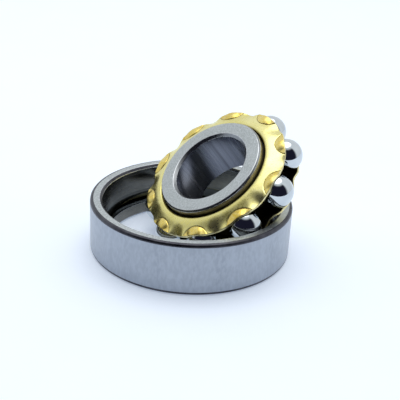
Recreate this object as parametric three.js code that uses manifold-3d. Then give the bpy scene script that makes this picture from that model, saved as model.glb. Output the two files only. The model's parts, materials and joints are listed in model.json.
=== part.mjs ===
// Separable single-row ball bearing of the magneto type, 17 x 44 x 11 mm, shown taken apart:
// the outer ring lies flat and the inner ring, with its cage and balls, leans inside it.
// Millimetres, +Z up. The origin is at the middle of the whole model's box, on its underside.

import * as THREE from "three";
import { mergeVertices } from "three/addons/utils/BufferGeometryUtils.js";
import Module from "manifold-3d";

const wasm = await Module();
wasm.setup();

// Boundary dimensions of the bearing.
const BORE_RADIUS = 8.5;
const OUTER_RADIUS = 22;
const WIDTH = 11.5;
const HALF_WIDTH = WIDTH / 2;

// Balls and raceways.
const BALL_COUNT = 10;
const BALL_RADIUS = 3.572;
const BALL_PITCH_RADIUS = 15.75;
const GROOVE_RADIUS = 3.7;
const OUTER_RACEWAY_RADIUS = 19.35;
const INNER_RACEWAY_RADIUS = 11.8;
const OUTER_SHOULDER_RADIUS = 18.1;
const INNER_LAND_RADIUS = 12.3;

// Edge breaks on the two rings.
const OUTER_EDGE_ROUND = 0.7;
const MOUTH_CHAMFER = 0.6;
const SHOULDER_CHAMFER = 0.4;
const BORE_CHAMFER = 0.6;
const LAND_CHAMFER = 0.35;

// Pressed brass cage, a channel open outwards with a domed pocket over each ball.
const CAGE_INNER_RADIUS = 12.7;
const CAGE_OUTER_RADIUS = 17.1;
const CAGE_SHEET = 0.45;
const CAGE_RIM_HEIGHT = 4.45;
const CAGE_RIM_ROUND = 0.55;
const CAGE_LIP_HEIGHT = 2.95;
const FALL_START = 0.08;
const FALL_END = 0.95;
// The flange slopes, so its underside lies a little further down than the sheet is thick.
const FLANGE_DROP = CAGE_SHEET * 1.08;
const POCKET_RADIUS = 3.72;
const DOME_RADIUS = 4.12;

// How the inner assembly leans: its axis tips away from +X, and the middle of its ball circle
// stands off the outer ring's axis, above the surface that the outer ring lies on.
const LEAN_ANGLE = THREE.MathUtils.degToRad(38.6);
const LEAN_OFFSET = 7.6;
const LEAN_HEIGHT = 13.82;

// Facets around each turned piece.
const RING_SEGMENTS = 80;
const EDGE_ROUND_STEPS = 3;
const GROOVE_STEPS = 6;
const CAGE_SEGMENTS = 60;
const FLANGE_TOP_STEPS = 5;
const FLANGE_UNDER_STEPS = 4;
const BALL_SEGMENTS = 18;
const BALL_RINGS = 10;
const POCKET_SEGMENTS = 16;
const POCKET_RINGS = 10;

// How far cutting bodies run past what they cut, and how close two points are to be one.
const OVERRUN = 1;
const WELD_DISTANCE = 1e-4;

const groundSteel = new THREE.MeshStandardMaterial({ color: 0xa9b0b6, roughness: 0.32, metalness: 1 });
const polishedSteel = new THREE.MeshStandardMaterial({ color: 0xc9ced4, roughness: 0.06, metalness: 1 });
const pressedBrass = new THREE.MeshStandardMaterial({ color: 0xc9a84a, roughness: 0.3, metalness: 1 });

// Points on a circle arc in the (radius, height) plane, both ends included.
function arcPoints(centreRadius, centreHeight, radius, startAngle, endAngle, steps) {
  const points = [];
  for (let i = 0; i <= steps; i += 1) {
    const angle = startAngle + ((endAngle - startAngle) * i) / steps;
    const r = centreRadius + radius * Math.cos(angle);
    const z = centreHeight + radius * Math.sin(angle);
    points.push(new THREE.Vector2(r, z));
  }
  return points;
}

// A closed (radius, height) outline, drawn anticlockwise, turned around +Z.
function turned(outline, segments) {
  const geometry = new THREE.LatheGeometry([...outline, outline[0].clone()], segments);
  geometry.rotateX(Math.PI / 2);
  return geometry;
}

function toSolid(geometry) {
  const bare = geometry.clone();
  bare.deleteAttribute("normal");
  bare.deleteAttribute("uv");
  const merged = mergeVertices(bare, WELD_DISTANCE);
  const vertProperties = new Float32Array(merged.attributes.position.array);
  const triVerts = new Uint32Array(merged.index.array);
  return new wasm.Manifold(new wasm.Mesh({ numProp: 3, vertProperties, triVerts }));
}

function toGeometry(solid) {
  const mesh = solid.getMesh();
  const geometry = new THREE.BufferGeometry();
  geometry.setAttribute("position", new THREE.BufferAttribute(mesh.vertProperties, 3));
  geometry.setIndex(new THREE.BufferAttribute(mesh.triVerts, 1));
  geometry.computeVertexNormals();
  return geometry;
}

// The outer ring stands on its closed side: one shoulder below the raceway, and above it a
// plain bore as wide as the raceway, which lets the inner assembly in.
function outerRingGeometry() {
  const grooveCentre = OUTER_RACEWAY_RADIUS - GROOVE_RADIUS;
  const shoulderAngle = Math.acos((OUTER_SHOULDER_RADIUS - grooveCentre) / GROOVE_RADIUS);
  const roundCentre = OUTER_RADIUS - OUTER_EDGE_ROUND;
  const quarter = Math.PI / 2;
  const highRound = WIDTH - OUTER_EDGE_ROUND;
  const outline = [
    new THREE.Vector2(OUTER_SHOULDER_RADIUS, SHOULDER_CHAMFER),
    new THREE.Vector2(OUTER_SHOULDER_RADIUS + SHOULDER_CHAMFER, 0),
    ...arcPoints(roundCentre, OUTER_EDGE_ROUND, OUTER_EDGE_ROUND, -quarter, 0, EDGE_ROUND_STEPS),
    ...arcPoints(roundCentre, highRound, OUTER_EDGE_ROUND, 0, quarter, EDGE_ROUND_STEPS),
    new THREE.Vector2(OUTER_RACEWAY_RADIUS + MOUTH_CHAMFER, WIDTH),
    new THREE.Vector2(OUTER_RACEWAY_RADIUS, WIDTH - MOUTH_CHAMFER),
    ...arcPoints(grooveCentre, HALF_WIDTH, GROOVE_RADIUS, 0, -shoulderAngle, GROOVE_STEPS),
  ];
  return turned(outline, RING_SEGMENTS);
}

// The inner ring, centred on its ball groove, with a low land on each side of the groove.
function innerRingGeometry() {
  const grooveCentre = INNER_RACEWAY_RADIUS + GROOVE_RADIUS;
  const grooveAngle = Math.acos((grooveCentre - INNER_LAND_RADIUS) / GROOVE_RADIUS);
  const grooveStart = Math.PI + grooveAngle;
  const grooveEnd = Math.PI - grooveAngle;
  const outline = [
    new THREE.Vector2(BORE_RADIUS, -HALF_WIDTH + BORE_CHAMFER),
    new THREE.Vector2(BORE_RADIUS + BORE_CHAMFER, -HALF_WIDTH),
    new THREE.Vector2(INNER_LAND_RADIUS - LAND_CHAMFER, -HALF_WIDTH),
    new THREE.Vector2(INNER_LAND_RADIUS, -HALF_WIDTH + LAND_CHAMFER),
    ...arcPoints(grooveCentre, 0, GROOVE_RADIUS, grooveStart, grooveEnd, GROOVE_STEPS),
    new THREE.Vector2(INNER_LAND_RADIUS, HALF_WIDTH - LAND_CHAMFER),
    new THREE.Vector2(INNER_LAND_RADIUS - LAND_CHAMFER, HALF_WIDTH),
    new THREE.Vector2(BORE_RADIUS + BORE_CHAMFER, HALF_WIDTH),
    new THREE.Vector2(BORE_RADIUS, HALF_WIDTH - BORE_CHAMFER),
  ];
  return turned(outline, RING_SEGMENTS);
}

// The upper surface of the cage's flange: a rolled inner rim that falls away to the outer lip.
function flangeHeight(radius) {
  const along = (radius - CAGE_INNER_RADIUS) / (CAGE_OUTER_RADIUS - CAGE_INNER_RADIUS);
  const fall = THREE.MathUtils.smoothstep(along, FALL_START, FALL_END);
  const fromEdge = Math.max(0, CAGE_RIM_ROUND - (radius - CAGE_INNER_RADIUS));
  const rolled = CAGE_RIM_ROUND - Math.sqrt(CAGE_RIM_ROUND * CAGE_RIM_ROUND - fromEdge * fromEdge);
  return CAGE_RIM_HEIGHT - (CAGE_RIM_HEIGHT - CAGE_LIP_HEIGHT) * fall - rolled;
}

function flangePoints(startRadius, drop, steps) {
  const points = [];
  for (let i = 0; i <= steps; i += 1) {
    const radius = startRadius + ((CAGE_OUTER_RADIUS - startRadius) * i) / steps;
    points.push(new THREE.Vector2(radius, flangeHeight(radius) - drop));
  }
  return points;
}

// A closed outline between a curve above the middle plane and its mirror image below it.
function symmetricOutline(upper) {
  const lower = upper.map((point) => new THREE.Vector2(point.x, -point.y));
  return [...lower, ...upper.reverse()];
}

// One pressed part: both flanges, the inner wall between them with a window at each ball, and
// the domes. Spheres swell the flanges over the balls, the channel is hollowed, and a smaller
// sphere at each ball opens its pocket.
function cageGeometry() {
  const wallRadius = CAGE_INNER_RADIUS + CAGE_SHEET;
  const top = flangePoints(CAGE_INNER_RADIUS, 0, FLANGE_TOP_STEPS);
  const under = flangePoints(wallRadius, FLANGE_DROP, FLANGE_UNDER_STEPS);
  const beyond = CAGE_OUTER_RADIUS + OVERRUN;
  under.push(new THREE.Vector2(beyond, under[under.length - 1].y));
  const body = toSolid(turned(symmetricOutline(top), CAGE_SEGMENTS));
  const channel = toSolid(turned(symmetricOutline(under), CAGE_SEGMENTS));
  const blankHalfHeight = DOME_RADIUS + OVERRUN;
  const blankOutline = [
    new THREE.Vector2(CAGE_INNER_RADIUS, -blankHalfHeight),
    new THREE.Vector2(CAGE_OUTER_RADIUS, -blankHalfHeight),
    new THREE.Vector2(CAGE_OUTER_RADIUS, blankHalfHeight),
    new THREE.Vector2(CAGE_INNER_RADIUS, blankHalfHeight),
  ];
  const blank = toSolid(turned(blankOutline, CAGE_SEGMENTS));
  const dome = toSolid(new THREE.SphereGeometry(DOME_RADIUS, POCKET_SEGMENTS, POCKET_RINGS));
  const pocket = toSolid(new THREE.SphereGeometry(POCKET_RADIUS, POCKET_SEGMENTS, POCKET_RINGS));
  let cage = body;
  for (let i = 0; i < BALL_COUNT; i += 1) {
    cage = cage.add(dome.translate(ballPlace(i).toArray()));
  }
  cage = cage.intersect(blank).subtract(channel);
  for (let i = 0; i < BALL_COUNT; i += 1) {
    cage = cage.subtract(pocket.translate(ballPlace(i).toArray()));
  }
  return toGeometry(cage);
}

function ballPlace(index) {
  const angle = (2 * Math.PI * index) / BALL_COUNT;
  return new THREE.Vector3(Math.cos(angle), Math.sin(angle), 0).multiplyScalar(BALL_PITCH_RADIUS);
}

function ballGeometry() {
  return new THREE.SphereGeometry(BALL_RADIUS, BALL_SEGMENTS, BALL_RINGS);
}

function named(name, geometry, material) {
  const mesh = new THREE.Mesh(geometry, material);
  mesh.name = name;
  return mesh;
}

// The inner ring, cage and balls stay together and share one leaning axis.
function innerAssembly() {
  const assembly = new THREE.Group();
  assembly.add(named("inner_ring", innerRingGeometry(), groundSteel));
  assembly.add(named("cage", cageGeometry(), pressedBrass));
  for (let i = 0; i < BALL_COUNT; i += 1) {
    const ball = named(`ball_${String(i + 1).padStart(2, "0")}`, ballGeometry(), polishedSteel);
    ball.position.copy(ballPlace(i));
    assembly.add(ball);
  }
  assembly.rotation.y = -LEAN_ANGLE;
  assembly.position.set(LEAN_OFFSET, 0, LEAN_HEIGHT);
  return assembly;
}

const bearing = new THREE.Group();
bearing.add(named("outer_ring", outerRingGeometry(), groundSteel));
bearing.add(innerAssembly());

// The model is shifted so that the origin is the middle of its box in X and Y.
bearing.updateMatrixWorld(true);
const extent = new THREE.Box3().setFromObject(bearing, true);
bearing.position.x = -(extent.min.x + extent.max.x) / 2;
bearing.position.y = -(extent.min.y + extent.max.y) / 2;

export default bearing;
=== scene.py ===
import json
import math

import bpy
from mathutils import Matrix, Vector


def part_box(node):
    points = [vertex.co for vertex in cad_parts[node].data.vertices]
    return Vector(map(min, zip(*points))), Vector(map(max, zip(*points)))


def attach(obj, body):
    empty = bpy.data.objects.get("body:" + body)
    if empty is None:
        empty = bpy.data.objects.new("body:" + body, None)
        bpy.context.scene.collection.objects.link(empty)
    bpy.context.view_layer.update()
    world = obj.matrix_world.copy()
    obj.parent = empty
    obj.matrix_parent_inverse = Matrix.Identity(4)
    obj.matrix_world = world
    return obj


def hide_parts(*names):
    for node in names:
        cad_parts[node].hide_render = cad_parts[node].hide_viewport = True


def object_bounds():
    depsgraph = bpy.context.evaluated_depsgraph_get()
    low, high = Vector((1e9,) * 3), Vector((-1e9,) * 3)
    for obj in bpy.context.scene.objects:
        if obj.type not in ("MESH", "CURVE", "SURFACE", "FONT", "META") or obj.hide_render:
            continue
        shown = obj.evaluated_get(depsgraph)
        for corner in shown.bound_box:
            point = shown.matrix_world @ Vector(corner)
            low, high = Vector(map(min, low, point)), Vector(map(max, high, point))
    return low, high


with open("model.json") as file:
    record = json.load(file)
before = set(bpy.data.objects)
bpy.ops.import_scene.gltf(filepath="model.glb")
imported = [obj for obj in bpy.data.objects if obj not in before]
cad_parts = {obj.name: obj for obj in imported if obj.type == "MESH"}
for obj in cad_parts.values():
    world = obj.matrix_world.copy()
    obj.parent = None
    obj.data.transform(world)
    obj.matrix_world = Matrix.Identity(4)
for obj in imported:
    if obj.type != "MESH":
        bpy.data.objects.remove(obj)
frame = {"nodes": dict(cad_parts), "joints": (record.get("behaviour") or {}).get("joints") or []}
cad_low, cad_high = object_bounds()

# A separable ball bearing laid open: the outer ring lies flat, and the inner ring leans in it with its
# brass cage and balls. Lengths are in millimetres unless a comment says metres.

MM = 0.001
UP = Vector((0, 0, 1))

# Rings, each in its own frame with its axis along Z.
OUTER_RADIUS = 22.0
WIDTH = 11.5
HALF_WIDTH = WIDTH / 2
OUTER_CORNER = 0.72
OUTER_SHOULDER_RADIUS = 18.1
OUTER_RACEWAY_RADIUS = 19.35
MOUTH_CHAMFER = 0.6
SHOULDER_CHAMFER = 0.4
BORE_RADIUS = 8.5
BORE_CHAMFER = 0.6
INNER_LAND_RADIUS = 12.3
INNER_RACEWAY_RADIUS = 11.8
LAND_CHAMFER = 0.35
GROOVE_RADIUS = 3.7
EDGE_FILLET = 0.1
SMALL_FILLET = 0.06

# Balls. The first one lies on this side of the leaning ring's axis.
BALL_RADIUS = 3.57
BALL_PITCH_RADIUS = 15.75
FIRST_BALL_SIDE = (1, 0, 0)

# Pressed cage: a wall with a window for each ball, a rolled rim, and a flange out to a lip.
CAGE_INNER_RADIUS = 12.7
CAGE_OUTER_RADIUS = 17.09
CAGE_SHEET = 0.45
CAGE_WALL_RADIUS = CAGE_INNER_RADIUS + CAGE_SHEET
CAGE_WALL_MIDDLE = CAGE_INNER_RADIUS + CAGE_SHEET / 2
CAGE_RIM_HEIGHT = 4.45
CAGE_RIM_ROUND = 0.55
WINDOW_RADIUS = 2.62
LIP_ROUND = 0.07

# The flange falls from the rim to the lip, from FALL_START to FALL_END of its breadth. Over a ball the
# lip is CAGE_LIP_RISE higher than on the webs between two balls, where the lip also draws in by
# CAGE_SCALLOP and the fall is stretched by WEB_FALL, past the lip. One shape changes to the other
# between the angles WAVE_START and WAVE_END from a ball's centre line.
CAGE_LIP_HEIGHT = 2.6
CAGE_LIP_RISE = 0.82
CAGE_SCALLOP = 0.35
WAVE_START = math.radians(9)
WAVE_END = math.radians(18)
FALL_START = 0.08
FALL_END = 0.95
WEB_FALL = 0.45

# A sloping sheet measures more along Z than its thickness.
SLOPE_SHARE = 1.08
FLANGE_DROP = CAGE_SHEET * SLOPE_SHARE

# The dome over each ball, with a crease around it.
POCKET_RADIUS = 3.72
DOME_RADIUS = 4.1
DOME_CENTRE_RADIUS = 18.5
DOME_REACH = 3.6
DOME_SWELL = 0.34
DOME_BLEND = 0.08
CREASE_DEPTH = 0.09
CREASE_REACH = 0.09
CREASE_MARK = 0.05

# How finely the pieces are divided.
RING_SEGMENTS = 288
FILLET_STEPS = 4
CORNER_STEPS = 10
GROOVE_STEPS = 28
BALL_STEPS = 20
COLUMNS_PER_POCKET = 96
FLANGE_ROWS = 56
RIM_ROWS = 8
WALL_ROWS = 36
SHARP_ANGLE = math.radians(38)

# A fillet takes at most this share of the stretches beside it, and one larger than LARGE_FILLET is
# divided as a corner.
FILLET_SHARE = 0.45
LARGE_FILLET = 0.3

# Only wall up to this many window radii from the middle plane can be in a window. A face that is
# SEAM_BREADTH or more across spans the seam between two pockets and is in no window.
WINDOW_SEARCH = 1.3
SEAM_BREADTH = 1.0

# A point this near the wall counts as on it, and points that agree to this many decimals are one.
TOUCH = 1e-6
WELD_DIGITS = 5

# Most of a noise pattern's values fall between these two.
NOISE_LOW = 0.3
NOISE_HIGH = 0.7
NOISE_ROUGHNESS = 0.55

# Fleck patterns start to show above this value and show fully at the next.
FLECK_START = 0.4
FLECK_END = 0.62

# Sockets of the Mix node when it mixes colours. Their names repeat, so they go by number.
MIX_FACTOR = 0
MIX_FIRST = 6
MIX_SECOND = 7
MIX_RESULT = 2

# The studio that the pieces reflect is pale all round and opens on one side, behind the camera, into
# a dark room. The opening reaches ROOM_LEFT and ROOM_RIGHT of ROOM_SIDE as the camera sees it, and
# up to ROOM_TOP above the horizon, with soft edges.
ROOM_SIDE = Vector((-0.54, -0.84, 0)).normalized()
ROOM_LEFT = math.radians(80)
ROOM_RIGHT = math.radians(70)
ROOM_TOP = math.radians(62)
ROOM_SOFT = math.radians(10)
ROOM_COLOR = (0.015, 0.015, 0.03)
STUDIO_COLOR = (0.93, 0.97, 1.0)
STUDIO_STRENGTH = 0.92

# The backdrop is what the camera itself sees past the floor.
BACKDROP_COLOR = (0.9, 0.97, 1.0)
BACKDROP_STRENGTH = 1.0

# The floor is a sheet that glows a little. In metres, it reaches FLOOR_SIZE away from the dark room
# and to either side, FLOOR_NEAR_EDGE towards the room, and lies FLOOR_GAP under the bearing.
FLOOR_GLOW_COLOR = (0.68, 0.8, 1.0)
FLOOR_GLOW = 0.42
FLOOR_SIZE = 3.0
FLOOR_NEAR_EDGE = 0.1
FLOOR_GAP = 0.00002

# Softbox above the bearing, in metres.
SOFTBOX_PLACE = Vector((0.05, 0.1, 0.55))
SOFTBOX_TARGET = Vector((0, 0, 0.01))
SOFTBOX_SIZE = 0.5
SOFTBOX_POWER = 1.0
SOFTBOX_COLOR = (1, 0.99, 0.97)

# Camera: its place and clipping in metres.
CAMERA_PLACE = Vector((-0.08853, -0.13849, 0.08785))
CAMERA_FORWARD = Vector((0.49324, 0.75917, -0.42471))
CAMERA_ROLL = math.radians(3.11)
CAMERA_LENS = 74.7
CAMERA_SENSOR = 36.0
CAMERA_CLIP_START = 0.01
CAMERA_CLIP_END = 10


def joint_of(name):
    return next(joint for joint in frame["joints"] if joint["name"] == name)


def place_at(centre, axis, toward):
    """A frame at centre (metres) whose Z is axis and whose X points along toward."""
    z = Vector(axis).normalized()
    x = (Vector(toward) - z * Vector(toward).dot(z)).normalized()
    y = z.cross(x)
    turn = Matrix((x, y, z)).transposed().to_4x4()
    return Matrix.Translation(Vector(centre)) @ turn


# ---------------------------------------------------------------- shapes

def smoothstep(value, start, end):
    t = max(0.0, min(1.0, (value - start) / (end - start)))
    return t * t * (3 - 2 * t)


def arc_points(centre, radius, start, end, steps):
    points = []
    for i in range(steps + 1):
        angle = start + (end - start) * i / steps
        points.append((centre[0] + radius * math.cos(angle), centre[1] + radius * math.sin(angle)))
    return points


def fillet_points(before, corner, after, size, steps):
    """The points that round one corner of an outline."""
    to_before = Vector(before) - Vector(corner)
    to_after = Vector(after) - Vector(corner)
    reach = min(size, to_before.length * FILLET_SHARE, to_after.length * FILLET_SHARE)
    start = Vector(corner) + to_before.normalized() * reach
    end = Vector(corner) + to_after.normalized() * reach
    points = []
    for i in range(steps + 1):
        t = i / steps
        point = start * (1 - t) ** 2 + Vector(corner) * 2 * t * (1 - t) + end * t ** 2
        points.append(tuple(point))
    return points


def outline_from(corners):
    """corners are (r, z, fillet, finish of the next stretch, finish of the fillet)."""
    points = []
    finishes = []
    count = len(corners)
    for i, (r, z, size, finish, round_finish) in enumerate(corners):
        if size == 0:
            points.append((r, z))
            finishes.append(finish)
            continue
        before = corners[i - 1][:2]
        after = corners[(i + 1) % count][:2]
        steps = CORNER_STEPS if size > LARGE_FILLET else FILLET_STEPS
        rounded = fillet_points(before, (r, z), after, size, steps)
        points.extend(rounded)
        finishes.extend([round_finish] * (len(rounded) - 1) + [finish])
    return points, finishes


def new_object(name, verts, faces, face_slots, materials, matrix):
    """A mesh from points in millimetres, set in its place by matrix."""
    mesh = bpy.data.meshes.new(name)
    mesh.from_pydata([tuple(matrix @ (Vector(v) * MM)) for v in verts], [], faces)
    for mat in materials:
        mesh.materials.append(mat)
    mesh.polygons.foreach_set("material_index", face_slots)
    mesh.polygons.foreach_set("use_smooth", [True] * len(faces))
    mesh.update()
    mesh.set_sharp_from_angle(angle=SHARP_ANGLE)
    obj = bpy.data.objects.new(name, mesh)
    bpy.context.scene.collection.objects.link(obj)
    return obj


def revolved(name, corners, finishes, matrix):
    """Turns an anticlockwise (r, z) outline around Z; finishes maps a finish name to a material."""
    points, marks = outline_from(corners)
    used = list(dict.fromkeys(finishes.values()))
    slot_of = {key: used.index(mat) for key, mat in finishes.items()}
    verts = []
    for s in range(RING_SEGMENTS):
        angle = 2 * math.pi * s / RING_SEGMENTS
        for r, z in points:
            verts.append((r * math.cos(angle), r * math.sin(angle), z))
    faces = []
    slots = []
    count = len(points)
    for s in range(RING_SEGMENTS):
        here = s * count
        there = ((s + 1) % RING_SEGMENTS) * count
        for i in range(count):
            j = (i + 1) % count
            faces.append((here + i, there + i, there + j, here + j))
            slots.append(slot_of[marks[i]])
    return new_object(name, verts, faces, slots, used, matrix)


# ---------------------------------------------------------------- materials

def feed(links, value, socket):
    """Links value to the socket if value is a socket too, and otherwise sets it as a constant."""
    if isinstance(value, bpy.types.NodeSocket):
        links.new(value, socket)
    else:
        socket.default_value = value


def lengthwise(share):
    """Stretches a pattern along the axis, where only this share of its detail is left."""
    return (1, 1, share)


def ringwise(share):
    """Stretches a pattern across the axis, which leaves fine rings around a piece."""
    return (share, share, 1)


class Finish:
    """A procedural material: helper methods add nodes and wire them up. Its patterns are laid out in
    the frame of the piece, so that lines run around or along the piece's own axis."""

    def __init__(self, name, matrix, metallic=1.0):
        self.mat = bpy.data.materials.new(name)
        self.mat.use_nodes = True
        self.nodes = self.mat.node_tree.nodes
        self.links = self.mat.node_tree.links
        self.shader = self.nodes["Principled BSDF"]
        self.shader.inputs["Metallic"].default_value = metallic
        coord = self.nodes.new("ShaderNodeTexCoord")
        self.local = self.nodes.new("ShaderNodeMapping")
        self.local.vector_type = "TEXTURE"
        self.local.inputs["Location"].default_value = matrix.to_translation()
        self.local.inputs["Rotation"].default_value = matrix.to_euler()
        self.links.new(coord.outputs["Object"], self.local.inputs["Vector"])
        self.height = None

    def noise(self, scale, detail, stretch=(1, 1, 1)):
        mapping = self.nodes.new("ShaderNodeMapping")
        mapping.inputs["Scale"].default_value = stretch
        self.links.new(self.local.outputs["Vector"], mapping.inputs["Vector"])
        tex = self.nodes.new("ShaderNodeTexNoise")
        tex.inputs["Scale"].default_value = scale
        tex.inputs["Detail"].default_value = detail
        tex.inputs["Roughness"].default_value = NOISE_ROUGHNESS
        self.links.new(mapping.outputs["Vector"], tex.inputs["Vector"])
        return tex.outputs["Fac"]

    def spread(self, pattern, low, high, start=NOISE_LOW, end=NOISE_HIGH):
        """Goes from low to high as the pattern goes from start to end."""
        node = self.nodes.new("ShaderNodeMapRange")
        node.inputs["From Min"].default_value = start
        node.inputs["From Max"].default_value = end
        node.inputs["To Min"].default_value = low
        node.inputs["To Max"].default_value = high
        self.links.new(pattern, node.inputs["Value"])
        return node.outputs["Result"]

    def blend(self, factor, first, second):
        """Mixes a colour or colour socket with another colour."""
        node = self.nodes.new("ShaderNodeMix")
        node.data_type = "RGBA"
        self.links.new(factor, node.inputs[MIX_FACTOR])
        for color, number in ((first, MIX_FIRST), (second, MIX_SECOND)):
            value = color if isinstance(color, bpy.types.NodeSocket) else (*color, 1)
            feed(self.links, value, node.inputs[number])
        return node.outputs[MIX_RESULT]

    def tone(self, pattern, low, high):
        """A colour that follows a pattern."""
        return self.blend(self.spread(pattern, 0, 1), low, high)

    def flecks(self, base, pattern, color, share, start=FLECK_START, end=FLECK_END):
        """Lays up to this share of a colour over base, where the pattern is high."""
        return self.blend(self.spread(pattern, 0, share, start, end), base, color)

    def color(self, socket):
        self.links.new(socket, self.shader.inputs["Base Color"])

    def roughness(self, pattern, low, high):
        self.links.new(self.spread(pattern, low, high), self.shader.inputs["Roughness"])

    def bump(self, pattern, strength, depth):
        """Relief with a depth in millimetres, on top of any relief made before."""
        node = self.nodes.new("ShaderNodeBump")
        node.inputs["Strength"].default_value = strength
        node.inputs["Distance"].default_value = depth * MM
        self.links.new(pattern, node.inputs["Height"])
        if self.height is not None:
            self.links.new(self.height, node.inputs["Normal"])
        self.height = node.outputs["Normal"]
        self.links.new(self.height, self.shader.inputs["Normal"])


def ground_side(matrix):
    """The outside of the outer ring: satin, with faint upright bands and a fine grain."""
    finish = Finish("steel_ground_side", matrix)
    bands = finish.noise(scale=200, detail=3, stretch=lengthwise(0.06))
    grain = finish.noise(scale=1500, detail=3, stretch=lengthwise(0.45))
    rings = finish.noise(scale=1500, detail=2, stretch=ringwise(0.08))
    tone = finish.tone(bands, low=(0.325, 0.355, 0.405), high=(0.385, 0.42, 0.475))
    finish.color(finish.flecks(tone, grain, color=(0.5, 0.545, 0.61), share=0.3))
    finish.roughness(bands, low=0.33, high=0.39)
    finish.bump(rings, strength=0.15, depth=0.02)
    finish.bump(grain, strength=0.1, depth=0.02)
    return finish.mat


def ground_face(matrix):
    """Flat ground faces: an even pale grey with a fine speckle."""
    finish = Finish("steel_ground_face", matrix)
    speckle = finish.noise(scale=2600, detail=4)
    cloud = finish.noise(scale=240, detail=3)
    tone = finish.tone(cloud, low=(0.37, 0.4, 0.4), high=(0.44, 0.47, 0.475))
    finish.color(finish.flecks(tone, speckle, color=(0.62, 0.65, 0.67), share=0.7, start=0.42))
    finish.roughness(speckle, low=0.28, high=0.46)
    finish.bump(speckle, strength=0.35, depth=0.03)
    return finish.mat


def turned_and_shaded_corner(matrix):
    """The rounded corners of the outer ring: turned, not ground, so darker and duller; their near-black
    is partly painted shade.
    """
    finish = Finish("steel_turned_corner", matrix)
    rings = finish.noise(scale=1400, detail=2, stretch=ringwise(0.1))
    stain = finish.noise(scale=320, detail=4)
    finish.color(finish.tone(stain, low=(0.04, 0.04, 0.05), high=(0.1, 0.1, 0.115)))
    finish.roughness(stain, low=0.26, high=0.44)
    finish.bump(rings, strength=0.3, depth=0.02)
    return finish.mat


def bright_chamfer(matrix):
    """Worn edges, brighter than the faces beside them."""
    finish = Finish("steel_bright_chamfer", matrix)
    wear = finish.noise(scale=700, detail=4)
    finish.color(finish.tone(wear, low=(0.4, 0.42, 0.44), high=(0.6, 0.62, 0.64)))
    finish.roughness(wear, low=0.2, high=0.34)
    finish.bump(wear, strength=0.15, depth=0.02)
    return finish.mat


def dark_chamfer(matrix):
    """The chamfers of the inner ring: turned and left dark."""
    finish = Finish("steel_dark_chamfer", matrix)
    wear = finish.noise(scale=400, detail=3)
    finish.color(finish.tone(wear, low=(0.2, 0.21, 0.22), high=(0.28, 0.29, 0.3)))
    finish.roughness(wear, low=0.24, high=0.32)
    finish.bump(wear, strength=0.05, depth=0.01)
    return finish.mat


def brass_reflection_land(matrix):
    """The lands beside the inner raceway: ground, tinted brown as a painted reflection of the brass cage.
    """
    finish = Finish("steel_oiled_land", matrix)
    film = finish.noise(scale=260, detail=4)
    rings = finish.noise(scale=1500, detail=3, stretch=ringwise(0.05))
    finish.color(finish.tone(film, low=(0.34, 0.31, 0.24), high=(0.54, 0.5, 0.41)))
    finish.roughness(rings, low=0.34, high=0.46)
    finish.bump(rings, strength=0.1, depth=0.01)
    return finish.mat


def honed_bore(matrix):
    """The bore of the inner ring: dark and glossy, with streaks along the axis."""
    finish = Finish("steel_honed_bore", matrix)
    streaks = finish.noise(scale=520, detail=4, stretch=lengthwise(0.02))
    hairs = finish.noise(scale=1700, detail=3, stretch=lengthwise(0.02))
    tone = finish.tone(streaks, low=(0.11, 0.115, 0.14), high=(0.3, 0.31, 0.36))
    pale = (0.38, 0.4, 0.45)
    finish.color(finish.flecks(tone, hairs, color=pale, share=0.45, start=NOISE_LOW, end=NOISE_HIGH))
    finish.roughness(streaks, low=0.2, high=0.32)
    finish.bump(hairs, strength=0.1, depth=0.02)
    return finish.mat


def counterbore(matrix):
    """The plain inside of the outer ring: painted dark as painted shade, with fine rings around it."""
    finish = Finish("steel_counterbore", matrix)
    rings = finish.noise(scale=900, detail=3, stretch=ringwise(0.06))
    cloud = finish.noise(scale=200, detail=4)
    finish.color(finish.tone(cloud, low=(0.12, 0.117, 0.105), high=(0.22, 0.215, 0.195)))
    finish.roughness(rings, low=0.18, high=0.32)
    finish.bump(rings, strength=0.2, depth=0.02)
    return finish.mat


def raceway(matrix):
    """Raceways: polished, with very fine rings around them; their near-black colour is painted shade."""
    finish = Finish("steel_raceway", matrix)
    rings = finish.noise(scale=1600, detail=3, stretch=ringwise(0.05))
    finish.color(finish.tone(rings, low=(0.09, 0.09, 0.082), high=(0.15, 0.15, 0.14)))
    finish.roughness(rings, low=0.06, high=0.16)
    finish.bump(rings, strength=0.08, depth=0.01)
    return finish.mat


def pressed_brass(matrix, name, deep, pale):
    """Cage sheet: brass between two tones, with soft tarnish and the fine grain of rolled sheet."""
    finish = Finish(name, matrix)
    tarnish = finish.noise(scale=120, detail=3)
    grain = finish.noise(scale=2300, detail=4)
    marks = finish.noise(scale=700, detail=2)
    tone = finish.tone(tarnish, low=deep, high=pale)
    tone = finish.flecks(tone, grain, color=(0.9, 0.85, 0.48), share=0.3)
    finish.color(finish.flecks(tone, marks, color=(0.42, 0.35, 0.1), share=0.4, start=0.7, end=0.82))
    finish.roughness(grain, low=0.25, high=0.34)
    finish.bump(grain, strength=0.2, depth=0.02)
    finish.bump(tarnish, strength=0.05, depth=0.08)
    return finish.mat


def web_brass(matrix):
    """The rim of the cage and the webs between its domes: pale lemon brass."""
    return pressed_brass(matrix, "brass_pressed", deep=(0.7, 0.61, 0.17), pale=(0.85, 0.78, 0.34))


def dome_brass(matrix):
    """The domes of the cage: a deeper yellow."""
    return pressed_brass(matrix, "brass_dome", deep=(0.64, 0.45, 0.06), pale=(0.82, 0.66, 0.19))


def crease_shade_brass(matrix):
    """The folds around the domes: dark brown, as painted shade in the creases."""
    finish = Finish("brass_crease_painted_shade", matrix)
    film = finish.noise(scale=500, detail=3)
    finish.color(finish.tone(film, low=(0.1, 0.065, 0.02), high=(0.22, 0.16, 0.06)))
    finish.roughness(film, low=0.3, high=0.45)
    finish.bump(film, strength=0.1, depth=0.02)
    return finish.mat


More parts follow.
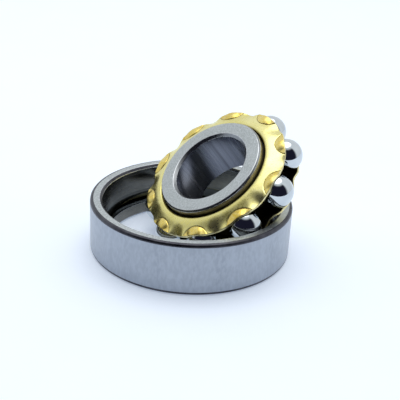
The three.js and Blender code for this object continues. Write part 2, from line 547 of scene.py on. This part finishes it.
def shade_painted_brass(matrix):
    """The inside of the cage and its bore: brass painted near-black as painted shade, for parts that lie
    in shade.
    """
    finish = Finish("brass_inside_painted_shade", matrix)
    film = finish.noise(scale=300, detail=4)
    finish.color(finish.tone(film, low=(0.05, 0.045, 0.03), high=(0.16, 0.13, 0.06)))
    finish.roughness(film, low=0.35, high=0.55)
    finish.bump(film, strength=0.1, depth=0.03)
    return finish.mat


def sheared_brass(matrix):
    """The cut edge of the brass sheet: lighter and rougher."""
    finish = Finish("brass_sheared_edge", matrix)
    lines = finish.noise(scale=1500, detail=3, stretch=lengthwise(0.1))
    finish.color(finish.tone(lines, low=(0.68, 0.57, 0.24), high=(0.88, 0.81, 0.5)))
    finish.roughness(lines, low=0.24, high=0.42)
    finish.bump(lines, strength=0.3, depth=0.03)
    return finish.mat


def mirror_steel(matrix):
    """Balls: lapped to a mirror, with a trace of fine scratches."""
    finish = Finish("steel_mirror", matrix)
    haze = finish.noise(scale=420, detail=4)
    scratches = finish.noise(scale=3000, detail=2, stretch=(1, 0.05, 1))
    finish.color(finish.tone(haze, low=(0.56, 0.6, 0.63), high=(0.64, 0.68, 0.7)))
    finish.roughness(haze, low=0.025, high=0.07)
    finish.bump(scratches, strength=0.02, depth=0.01)
    return finish.mat


def floor_paper():
    """The floor: matt, nearly even, and glowing a little."""
    finish = Finish("floor_paper", Matrix(), metallic=0.0)
    fibre = finish.noise(scale=60, detail=4)
    finish.color(finish.tone(fibre, low=(0.77, 0.805, 0.835), high=(0.79, 0.815, 0.845)))
    finish.roughness(fibre, low=0.7, high=0.8)
    finish.shader.inputs["Emission Color"].default_value = (*FLOOR_GLOW_COLOR, 1)
    finish.shader.inputs["Emission Strength"].default_value = FLOOR_GLOW
    return finish.mat


# ---------------------------------------------------------------- outer ring

def outer_ring_finishes(matrix):
    plain = counterbore(matrix)
    return {
        "side": ground_side(matrix),
        "face": ground_face(matrix),
        "corner": turned_and_shaded_corner(matrix),
        "bright": bright_chamfer(matrix),
        "plain": plain,
        "race": raceway(matrix),
        "shoulder": plain,
    }


def make_outer_ring(finishes, matrix):
    groove_centre = OUTER_RACEWAY_RADIUS - GROOVE_RADIUS
    shoulder_angle = math.acos((OUTER_SHOULDER_RADIUS - groove_centre) / GROOVE_RADIUS)
    groove = arc_points((groove_centre, HALF_WIDTH), GROOVE_RADIUS, 0, -shoulder_angle, GROOVE_STEPS)
    corners = [
        (OUTER_SHOULDER_RADIUS, SHOULDER_CHAMFER, EDGE_FILLET, "corner", "bright"),
        (OUTER_SHOULDER_RADIUS + SHOULDER_CHAMFER, 0, EDGE_FILLET, "face", "bright"),
        (OUTER_RADIUS, 0, OUTER_CORNER, "side", "corner"),
        (OUTER_RADIUS, WIDTH, OUTER_CORNER, "face", "corner"),
        (OUTER_RACEWAY_RADIUS + MOUTH_CHAMFER, WIDTH, EDGE_FILLET, "corner", "bright"),
        (OUTER_RACEWAY_RADIUS, WIDTH - MOUTH_CHAMFER, EDGE_FILLET, "plain", "bright"),
    ]
    for r, z in groove[:-1]:
        corners.append((r, z, 0, "race", "race"))
    corners.append((*groove[-1], SMALL_FILLET, "shoulder", "bright"))
    ring = revolved("outer_ring_steel", corners, finishes, matrix)
    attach(ring, "outer_ring")
    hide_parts("outer_ring")


# ---------------------------------------------------------------- inner ring

def inner_ring_finishes(matrix):
    return {
        "face": ground_face(matrix),
        "chamfer": dark_chamfer(matrix),
        "bright": bright_chamfer(matrix),
        "race": raceway(matrix),
        "land": brass_reflection_land(matrix),
        "bore": honed_bore(matrix),
    }


def make_inner_ring(finishes, matrix):
    groove_centre = INNER_RACEWAY_RADIUS + GROOVE_RADIUS
    reach = math.acos((groove_centre - INNER_LAND_RADIUS) / GROOVE_RADIUS)
    groove = arc_points((groove_centre, 0), GROOVE_RADIUS, math.pi + reach, math.pi - reach, GROOVE_STEPS)
    lower = [
        (BORE_RADIUS, -HALF_WIDTH + BORE_CHAMFER, EDGE_FILLET, "chamfer", "bright"),
        (BORE_RADIUS + BORE_CHAMFER, -HALF_WIDTH, EDGE_FILLET, "face", "bright"),
        (INNER_LAND_RADIUS - LAND_CHAMFER, -HALF_WIDTH, EDGE_FILLET, "chamfer", "bright"),
        (INNER_LAND_RADIUS, -HALF_WIDTH + LAND_CHAMFER, EDGE_FILLET, "land", "bright"),
    ]
    upper = [
        (INNER_LAND_RADIUS, HALF_WIDTH - LAND_CHAMFER, EDGE_FILLET, "chamfer", "bright"),
        (INNER_LAND_RADIUS - LAND_CHAMFER, HALF_WIDTH, EDGE_FILLET, "face", "bright"),
        (BORE_RADIUS + BORE_CHAMFER, HALF_WIDTH, EDGE_FILLET, "chamfer", "bright"),
        (BORE_RADIUS, HALF_WIDTH - BORE_CHAMFER, EDGE_FILLET, "bore", "bright"),
    ]
    corners = lower + [(*groove[0], SMALL_FILLET, "race", "bright")]
    for r, z in groove[1:-1]:
        corners.append((r, z, 0, "race", "race"))
    corners += [(*groove[-1], SMALL_FILLET, "land", "bright")] + upper
    ring = revolved("inner_ring_steel", corners, finishes, matrix)
    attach(ring, "inner_ring")
    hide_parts("inner_ring")


# ---------------------------------------------------------------- balls

def ball_spot(axis, side, i, j):
    """A point of the grid on one side of a cube, pushed out to the ball."""
    spot = [0, 0, 0]
    spot[axis] = side
    spot[(axis + 1) % 3] = math.tan((2 * i / BALL_STEPS - 1) * math.pi / 4)
    spot[(axis + 2) % 3] = math.tan((2 * j / BALL_STEPS - 1) * math.pi / 4)
    return Vector(spot).normalized() * BALL_RADIUS


def make_ball(name, mat, matrix):
    """A ball as a cube divided into a grid and pushed out to a sphere, so that it has no poles."""
    verts = []
    index = {}
    faces = []
    row = BALL_STEPS + 1
    for axis in range(3):
        for side in (-1, 1):
            grid = []
            for i in range(row):
                for j in range(row):
                    spot = ball_spot(axis, side, i, j)
                    key = tuple(round(c, WELD_DIGITS) for c in spot)
                    if key not in index:
                        index[key] = len(verts)
                        verts.append(tuple(spot))
                    grid.append(index[key])
            for i in range(BALL_STEPS):
                for j in range(BALL_STEPS):
                    k = i * row + j
                    face = (grid[k], grid[k + row], grid[k + row + 1], grid[k + 1])
                    faces.append(face if side > 0 else face[::-1])
    ball = new_object(name + "_steel", verts, faces, [0] * len(faces), [mat], matrix)
    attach(ball, name)
    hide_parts(name)


def make_balls(mat):
    """Makes every ball and returns how many there are."""
    balls = sorted(name for name in frame["nodes"] if name.startswith("ball_"))
    for name in balls:
        joint = joint_of(name + "_spin")
        make_ball(name, mat, place_at(joint["pos_m"], joint["axis"], FIRST_BALL_SIDE))
    return len(balls)


# ---------------------------------------------------------------- cage
# Angles here are from the centre line of the nearest ball unless a comment says otherwise, and heights
# are from the middle plane.

def flange_height(radius, angle):
    """The flange falls towards its lip, and furthest on the webs between the balls."""
    along = (radius - CAGE_INNER_RADIUS) / (CAGE_OUTER_RADIUS - CAGE_INNER_RADIUS)
    web = smoothstep(abs(angle), WAVE_START, WAVE_END)
    end = FALL_END + WEB_FALL * web
    lip = CAGE_LIP_HEIGHT + CAGE_LIP_RISE * (1 - web)
    drop = (CAGE_RIM_HEIGHT - lip) / smoothstep(1, FALL_START, end)
    return CAGE_RIM_HEIGHT - drop * smoothstep(along, FALL_START, end)


def sphere_height(radius, angle, sphere_radius):
    """Height of a sphere about the ball's centre, and 0 where it doesn't reach."""
    across = radius * math.sin(angle)
    out = radius * math.cos(angle) - BALL_PITCH_RADIUS
    square = sphere_radius * sphere_radius - across * across - out * out
    return math.sqrt(square) if square > 0 else 0.0


def dome_distance(radius, angle):
    out = radius * math.cos(angle) - DOME_CENTRE_RADIUS
    return math.hypot(out, radius * math.sin(angle))


def top_height(radius, angle):
    """The flange with a low dome pressed up over the ball and a crease around the dome."""
    distance = dome_distance(radius, angle)
    swell = DOME_SWELL * max(0.0, 1 - (distance / DOME_REACH) ** 2)
    flat = flange_height(radius, angle) + swell
    dome = sphere_height(radius, angle, DOME_RADIUS)
    crease = CREASE_DEPTH * math.exp(-((distance - DOME_REACH) / CREASE_REACH) ** 2)
    return (flat + dome + math.hypot(flat - dome, DOME_BLEND)) / 2 - crease


def under_height(radius, angle):
    return max(flange_height(radius, angle) - FLANGE_DROP, sphere_height(radius, angle, POCKET_RADIUS))


def flange_finish(radius, angle):
    distance = dome_distance(radius, angle)
    # The narrow band along the crease gets the crease finish, which is painted shade.
    if abs(distance - DOME_REACH) < CREASE_MARK:
        return "crease"
    return "dome" if distance < DOME_REACH else "sheet"


def cage_half_section(angle):
    """The upper half of the cage's section, from the middle of its bore round to the middle of the
    wall's outer face, as (radius, height, finish of the next stretch)."""
    rim_base = CAGE_RIM_HEIGHT - CAGE_RIM_ROUND
    section = []
    for i in range(WALL_ROWS):
        section.append((CAGE_INNER_RADIUS, rim_base * i / WALL_ROWS, "inside"))
    for i in range(RIM_ROWS):
        turn = math.pi / 2 * i / RIM_ROWS
        r = CAGE_INNER_RADIUS + CAGE_RIM_ROUND * (1 - math.cos(turn))
        rolled = CAGE_RIM_ROUND * (1 - math.sin(turn))
        section.append((r, flange_height(r, angle) - rolled, "sheet"))
    start = CAGE_INNER_RADIUS + CAGE_RIM_ROUND
    lip_radius = CAGE_OUTER_RADIUS - CAGE_SCALLOP * smoothstep(abs(angle), WAVE_START, WAVE_END)
    end = lip_radius - LIP_ROUND
    for i in range(FLANGE_ROWS):
        r = start + (end - start) * i / FLANGE_ROWS
        section.append((r, top_height(r, angle), flange_finish(r, angle)))
    top = top_height(end, angle)
    bottom = under_height(end, angle)
    section.append((end, top, "edge"))
    section.append((lip_radius, top - LIP_ROUND, "edge"))
    section.append((lip_radius, bottom + LIP_ROUND, "edge"))
    for i in range(FLANGE_ROWS + 1):
        r = end + (CAGE_WALL_RADIUS - end) * i / FLANGE_ROWS
        section.append((r, under_height(r, angle), "inside"))
    wall_top = under_height(CAGE_WALL_RADIUS, angle)
    for i in range(1, WALL_ROWS):
        section.append((CAGE_WALL_RADIUS, wall_top * (WALL_ROWS - i) / WALL_ROWS, "inside"))
    section.append((CAGE_WALL_RADIUS, 0.0, "inside"))
    return section


def cage_section(angle):
    """The cage's whole section: the upper half and its mirror image."""
    half = cage_half_section(angle)
    mirrored = [(r, -z, half[i - 1][2]) for i, (r, z, _) in enumerate(half)][1:-1]
    return half + mirrored[::-1]


def wall_spot(radius, height, angle):
    """Where a point of the wall lies from the middle of its window, with the wall rolled out flat.
    None for a point off the wall or far from the window."""
    if radius >= CAGE_WALL_RADIUS + TOUCH or abs(height) >= WINDOW_RADIUS * WINDOW_SEARCH:
        return None
    return angle * CAGE_WALL_MIDDLE, height


def in_window(spots):
    """Whether a face, given by the wall spots of its four corners, falls in a window."""
    if not all(spots):
        return False
    across = [spot[0] for spot in spots]
    heights = [spot[1] for spot in spots]
    near = math.hypot(sum(across) / 4, sum(heights) / 4) < WINDOW_RADIUS
    return near and max(across) - min(across) < SEAM_BREADTH


def open_edge_points(faces):
    """The points on edges that only one of these faces has."""
    uses = {}
    for face in faces:
        for a, b in zip(face, face[1:] + face[:1]):
            edge = (min(a, b), max(a, b))
            uses[edge] = uses.get(edge, 0) + 1
    return {v for edge, n in uses.items() if n == 1 for v in edge}


def rounded_spot(spot, radius, angle, offset):
    """A point on a window's rim, moved to the window's circle. The angle is the point's own, around
    the cage, and offset the part of it that is from the ball's centre line."""
    across, height = spot
    distance = math.hypot(across, height)
    turn = angle - offset + across * WINDOW_RADIUS / distance / CAGE_WALL_MIDDLE
    return radius * math.cos(turn), radius * math.sin(turn), height * WINDOW_RADIUS / distance


def without_loose(verts, faces):
    """Drops the points that no face uses."""
    used = sorted({v for face in faces for v in face})
    index = {v: i for i, v in enumerate(used)}
    return [verts[v] for v in used], [tuple(index[v] for v in face) for face in faces]


def cage_finishes(matrix):
    return {
        "sheet": web_brass(matrix),
        "edge": sheared_brass(matrix),
        "dome": dome_brass(matrix),
        "crease": crease_shade_brass(matrix),
        # The inside finish is painted shade.
        "inside": shade_painted_brass(matrix),
    }


def make_cage(finishes, matrix, pockets):
    columns = COLUMNS_PER_POCKET * pockets
    pitch = 2 * math.pi / pockets
    names = list(finishes)
    verts = []
    polar = []
    spots = []
    marks = []
    for c in range(columns):
        angle = 2 * math.pi * c / columns
        offset = (angle + pitch / 2) % pitch - pitch / 2
        section = cage_section(offset)
        marks.append([mark for _, _, mark in section])
        for r, z, _ in section:
            verts.append((r * math.cos(angle), r * math.sin(angle), z))
            polar.append((r, angle, offset))
            spots.append(wall_spot(r, z, offset))
    count = len(marks[0])
    faces = []
    slots = []
    cut = []
    for c in range(columns):
        here = c * count
        there = ((c + 1) % columns) * count
        for i in range(count):
            j = (i + 1) % count
            face = (here + i, there + i, there + j, here + j)
            if in_window([spots[v] for v in face]):
                cut.append(face)
                continue
            faces.append(face)
            slots.append(names.index(marks[c][i]))
    for v in open_edge_points(cut):
        verts[v] = rounded_spot(spots[v], *polar[v])
    verts, faces = without_loose(verts, faces)
    cage = new_object("cage_sheet", verts, faces, slots, list(finishes.values()), matrix)
    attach(cage, "cage")
    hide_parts("cage")


# ---------------------------------------------------------------- stage

def make_floor():
    across = ROOM_SIDE.cross(UP)
    near = ROOM_SIDE * FLOOR_NEAR_EDGE
    far = ROOM_SIDE * -FLOOR_SIZE
    side = across * FLOOR_SIZE
    spots = [tuple(spot) for spot in (far - side, far + side, near + side, near - side)]
    mesh = bpy.data.meshes.new("floor")
    mesh.from_pydata(spots, [], [(0, 1, 2, 3)])
    mesh.materials.append(floor_paper())
    floor = bpy.data.objects.new("floor", mesh)
    bpy.context.scene.collection.objects.link(floor)
    floor.location.z = cad_low.z - FLOOR_GAP


def math_node(tree, kind, first, second=0.0):
    node = tree.nodes.new("ShaderNodeMath")
    node.operation = kind
    feed(tree.links, first, node.inputs[0])
    feed(tree.links, second, node.inputs[1])
    return node.outputs[0]


def share_along(tree, direction, vector):
    """How far a direction of view points along a vector."""
    node = tree.nodes.new("ShaderNodeVectorMath")
    node.operation = "DOT_PRODUCT"
    tree.links.new(direction, node.inputs[0])
    node.inputs[1].default_value = vector
    return node.outputs["Value"]


def below(tree, value, limit):
    """1 where value is under the limit and 0 above it, with a soft step."""
    node = tree.nodes.new("ShaderNodeMapRange")
    node.interpolation_type = "SMOOTHSTEP"
    tree.links.new(value, node.inputs["Value"])
    node.inputs["From Min"].default_value = limit - ROOM_SOFT
    node.inputs["From Max"].default_value = limit + ROOM_SOFT
    node.inputs["To Min"].default_value = 1.0
    node.inputs["To Max"].default_value = 0.0
    return node.outputs["Result"]


def room_mask(tree):
    """1 in the directions of the dark room and 0 elsewhere."""
    direction = tree.nodes.new("ShaderNodeTexCoord").outputs["Generated"]
    right = -ROOM_SIDE.cross(UP)
    ahead = share_along(tree, direction, ROOM_SIDE)
    azimuth = math_node(tree, "ARCTAN2", share_along(tree, direction, right), ahead)
    height = math_node(tree, "ARCSINE", share_along(tree, direction, UP))
    to_left = math_node(tree, "MULTIPLY", azimuth, -1)
    sides = math_node(tree, "MULTIPLY", below(tree, azimuth, ROOM_RIGHT), below(tree, to_left, ROOM_LEFT))
    return math_node(tree, "MULTIPLY", sides, below(tree, height, ROOM_TOP))


def background(tree, color, strength):
    node = tree.nodes.new("ShaderNodeBackground")
    feed(tree.links, color, node.inputs["Color"])
    node.inputs["Strength"].default_value = strength
    return node.outputs[0]


def make_world():
    world = bpy.data.worlds.new("studio")
    bpy.context.scene.world = world
    world.use_nodes = True
    tree = world.node_tree
    tree.nodes.clear()
    mix = tree.nodes.new("ShaderNodeMix")
    mix.data_type = "RGBA"
    tree.links.new(room_mask(tree), mix.inputs[MIX_FACTOR])
    mix.inputs[MIX_FIRST].default_value = (*STUDIO_COLOR, 1)
    mix.inputs[MIX_SECOND].default_value = (*ROOM_COLOR, 1)
    surround = background(tree, mix.outputs[MIX_RESULT], STUDIO_STRENGTH)
    backdrop = background(tree, (*BACKDROP_COLOR, 1), BACKDROP_STRENGTH)
    path = tree.nodes.new("ShaderNodeLightPath")
    choose = tree.nodes.new("ShaderNodeMixShader")
    tree.links.new(path.outputs["Is Camera Ray"], choose.inputs[0])
    tree.links.new(surround, choose.inputs[1])
    tree.links.new(backdrop, choose.inputs[2])
    output = tree.nodes.new("ShaderNodeOutputWorld")
    tree.links.new(choose.outputs[0], output.inputs["Surface"])


def make_softbox():
    data = bpy.data.lights.new("overhead_softbox", "AREA")
    data.shape = "ELLIPSE"
    data.size = SOFTBOX_SIZE
    data.size_y = SOFTBOX_SIZE
    data.energy = SOFTBOX_POWER
    data.color = SOFTBOX_COLOR
    light = bpy.data.objects.new("overhead_softbox", data)
    bpy.context.scene.collection.objects.link(light)
    light.location = SOFTBOX_PLACE
    light.rotation_mode = "QUATERNION"
    light.rotation_quaternion = (SOFTBOX_TARGET - SOFTBOX_PLACE).to_track_quat("-Z", "Y")


def make_camera():
    data = bpy.data.cameras.new("camera")
    data.lens = CAMERA_LENS
    data.sensor_width = CAMERA_SENSOR
    data.clip_start = CAMERA_CLIP_START
    data.clip_end = CAMERA_CLIP_END
    camera = bpy.data.objects.new("camera", data)
    bpy.context.scene.collection.objects.link(camera)
    forward = CAMERA_FORWARD.normalized()
    level = forward.cross(UP).normalized()
    right = level * math.cos(CAMERA_ROLL) + level.cross(forward) * math.sin(CAMERA_ROLL)
    turn = Matrix((right, right.cross(forward), -forward)).transposed().to_4x4()
    camera.matrix_world = Matrix.Translation(CAMERA_PLACE) @ turn
    bpy.context.scene.camera = camera


def make_bearing():
    ring_low, ring_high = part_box("outer_ring")
    middle = (ring_low + ring_high) / 2
    flat = Matrix.Translation((middle.x, middle.y, ring_low.z))
    make_outer_ring(outer_ring_finishes(flat), flat)
    spin = joint_of("inner_ring_spin")
    leaning = place_at(spin["pos_m"], spin["axis"], FIRST_BALL_SIDE)
    make_inner_ring(inner_ring_finishes(leaning), leaning)
    pockets = make_balls(mirror_steel(leaning))
    make_cage(cage_finishes(leaning), leaning, pockets)


def make_stage():
    make_floor()
    make_world()
    make_softbox()
    make_camera()
    bpy.context.scene.view_settings.view_transform = "Standard"


make_bearing()
make_stage()
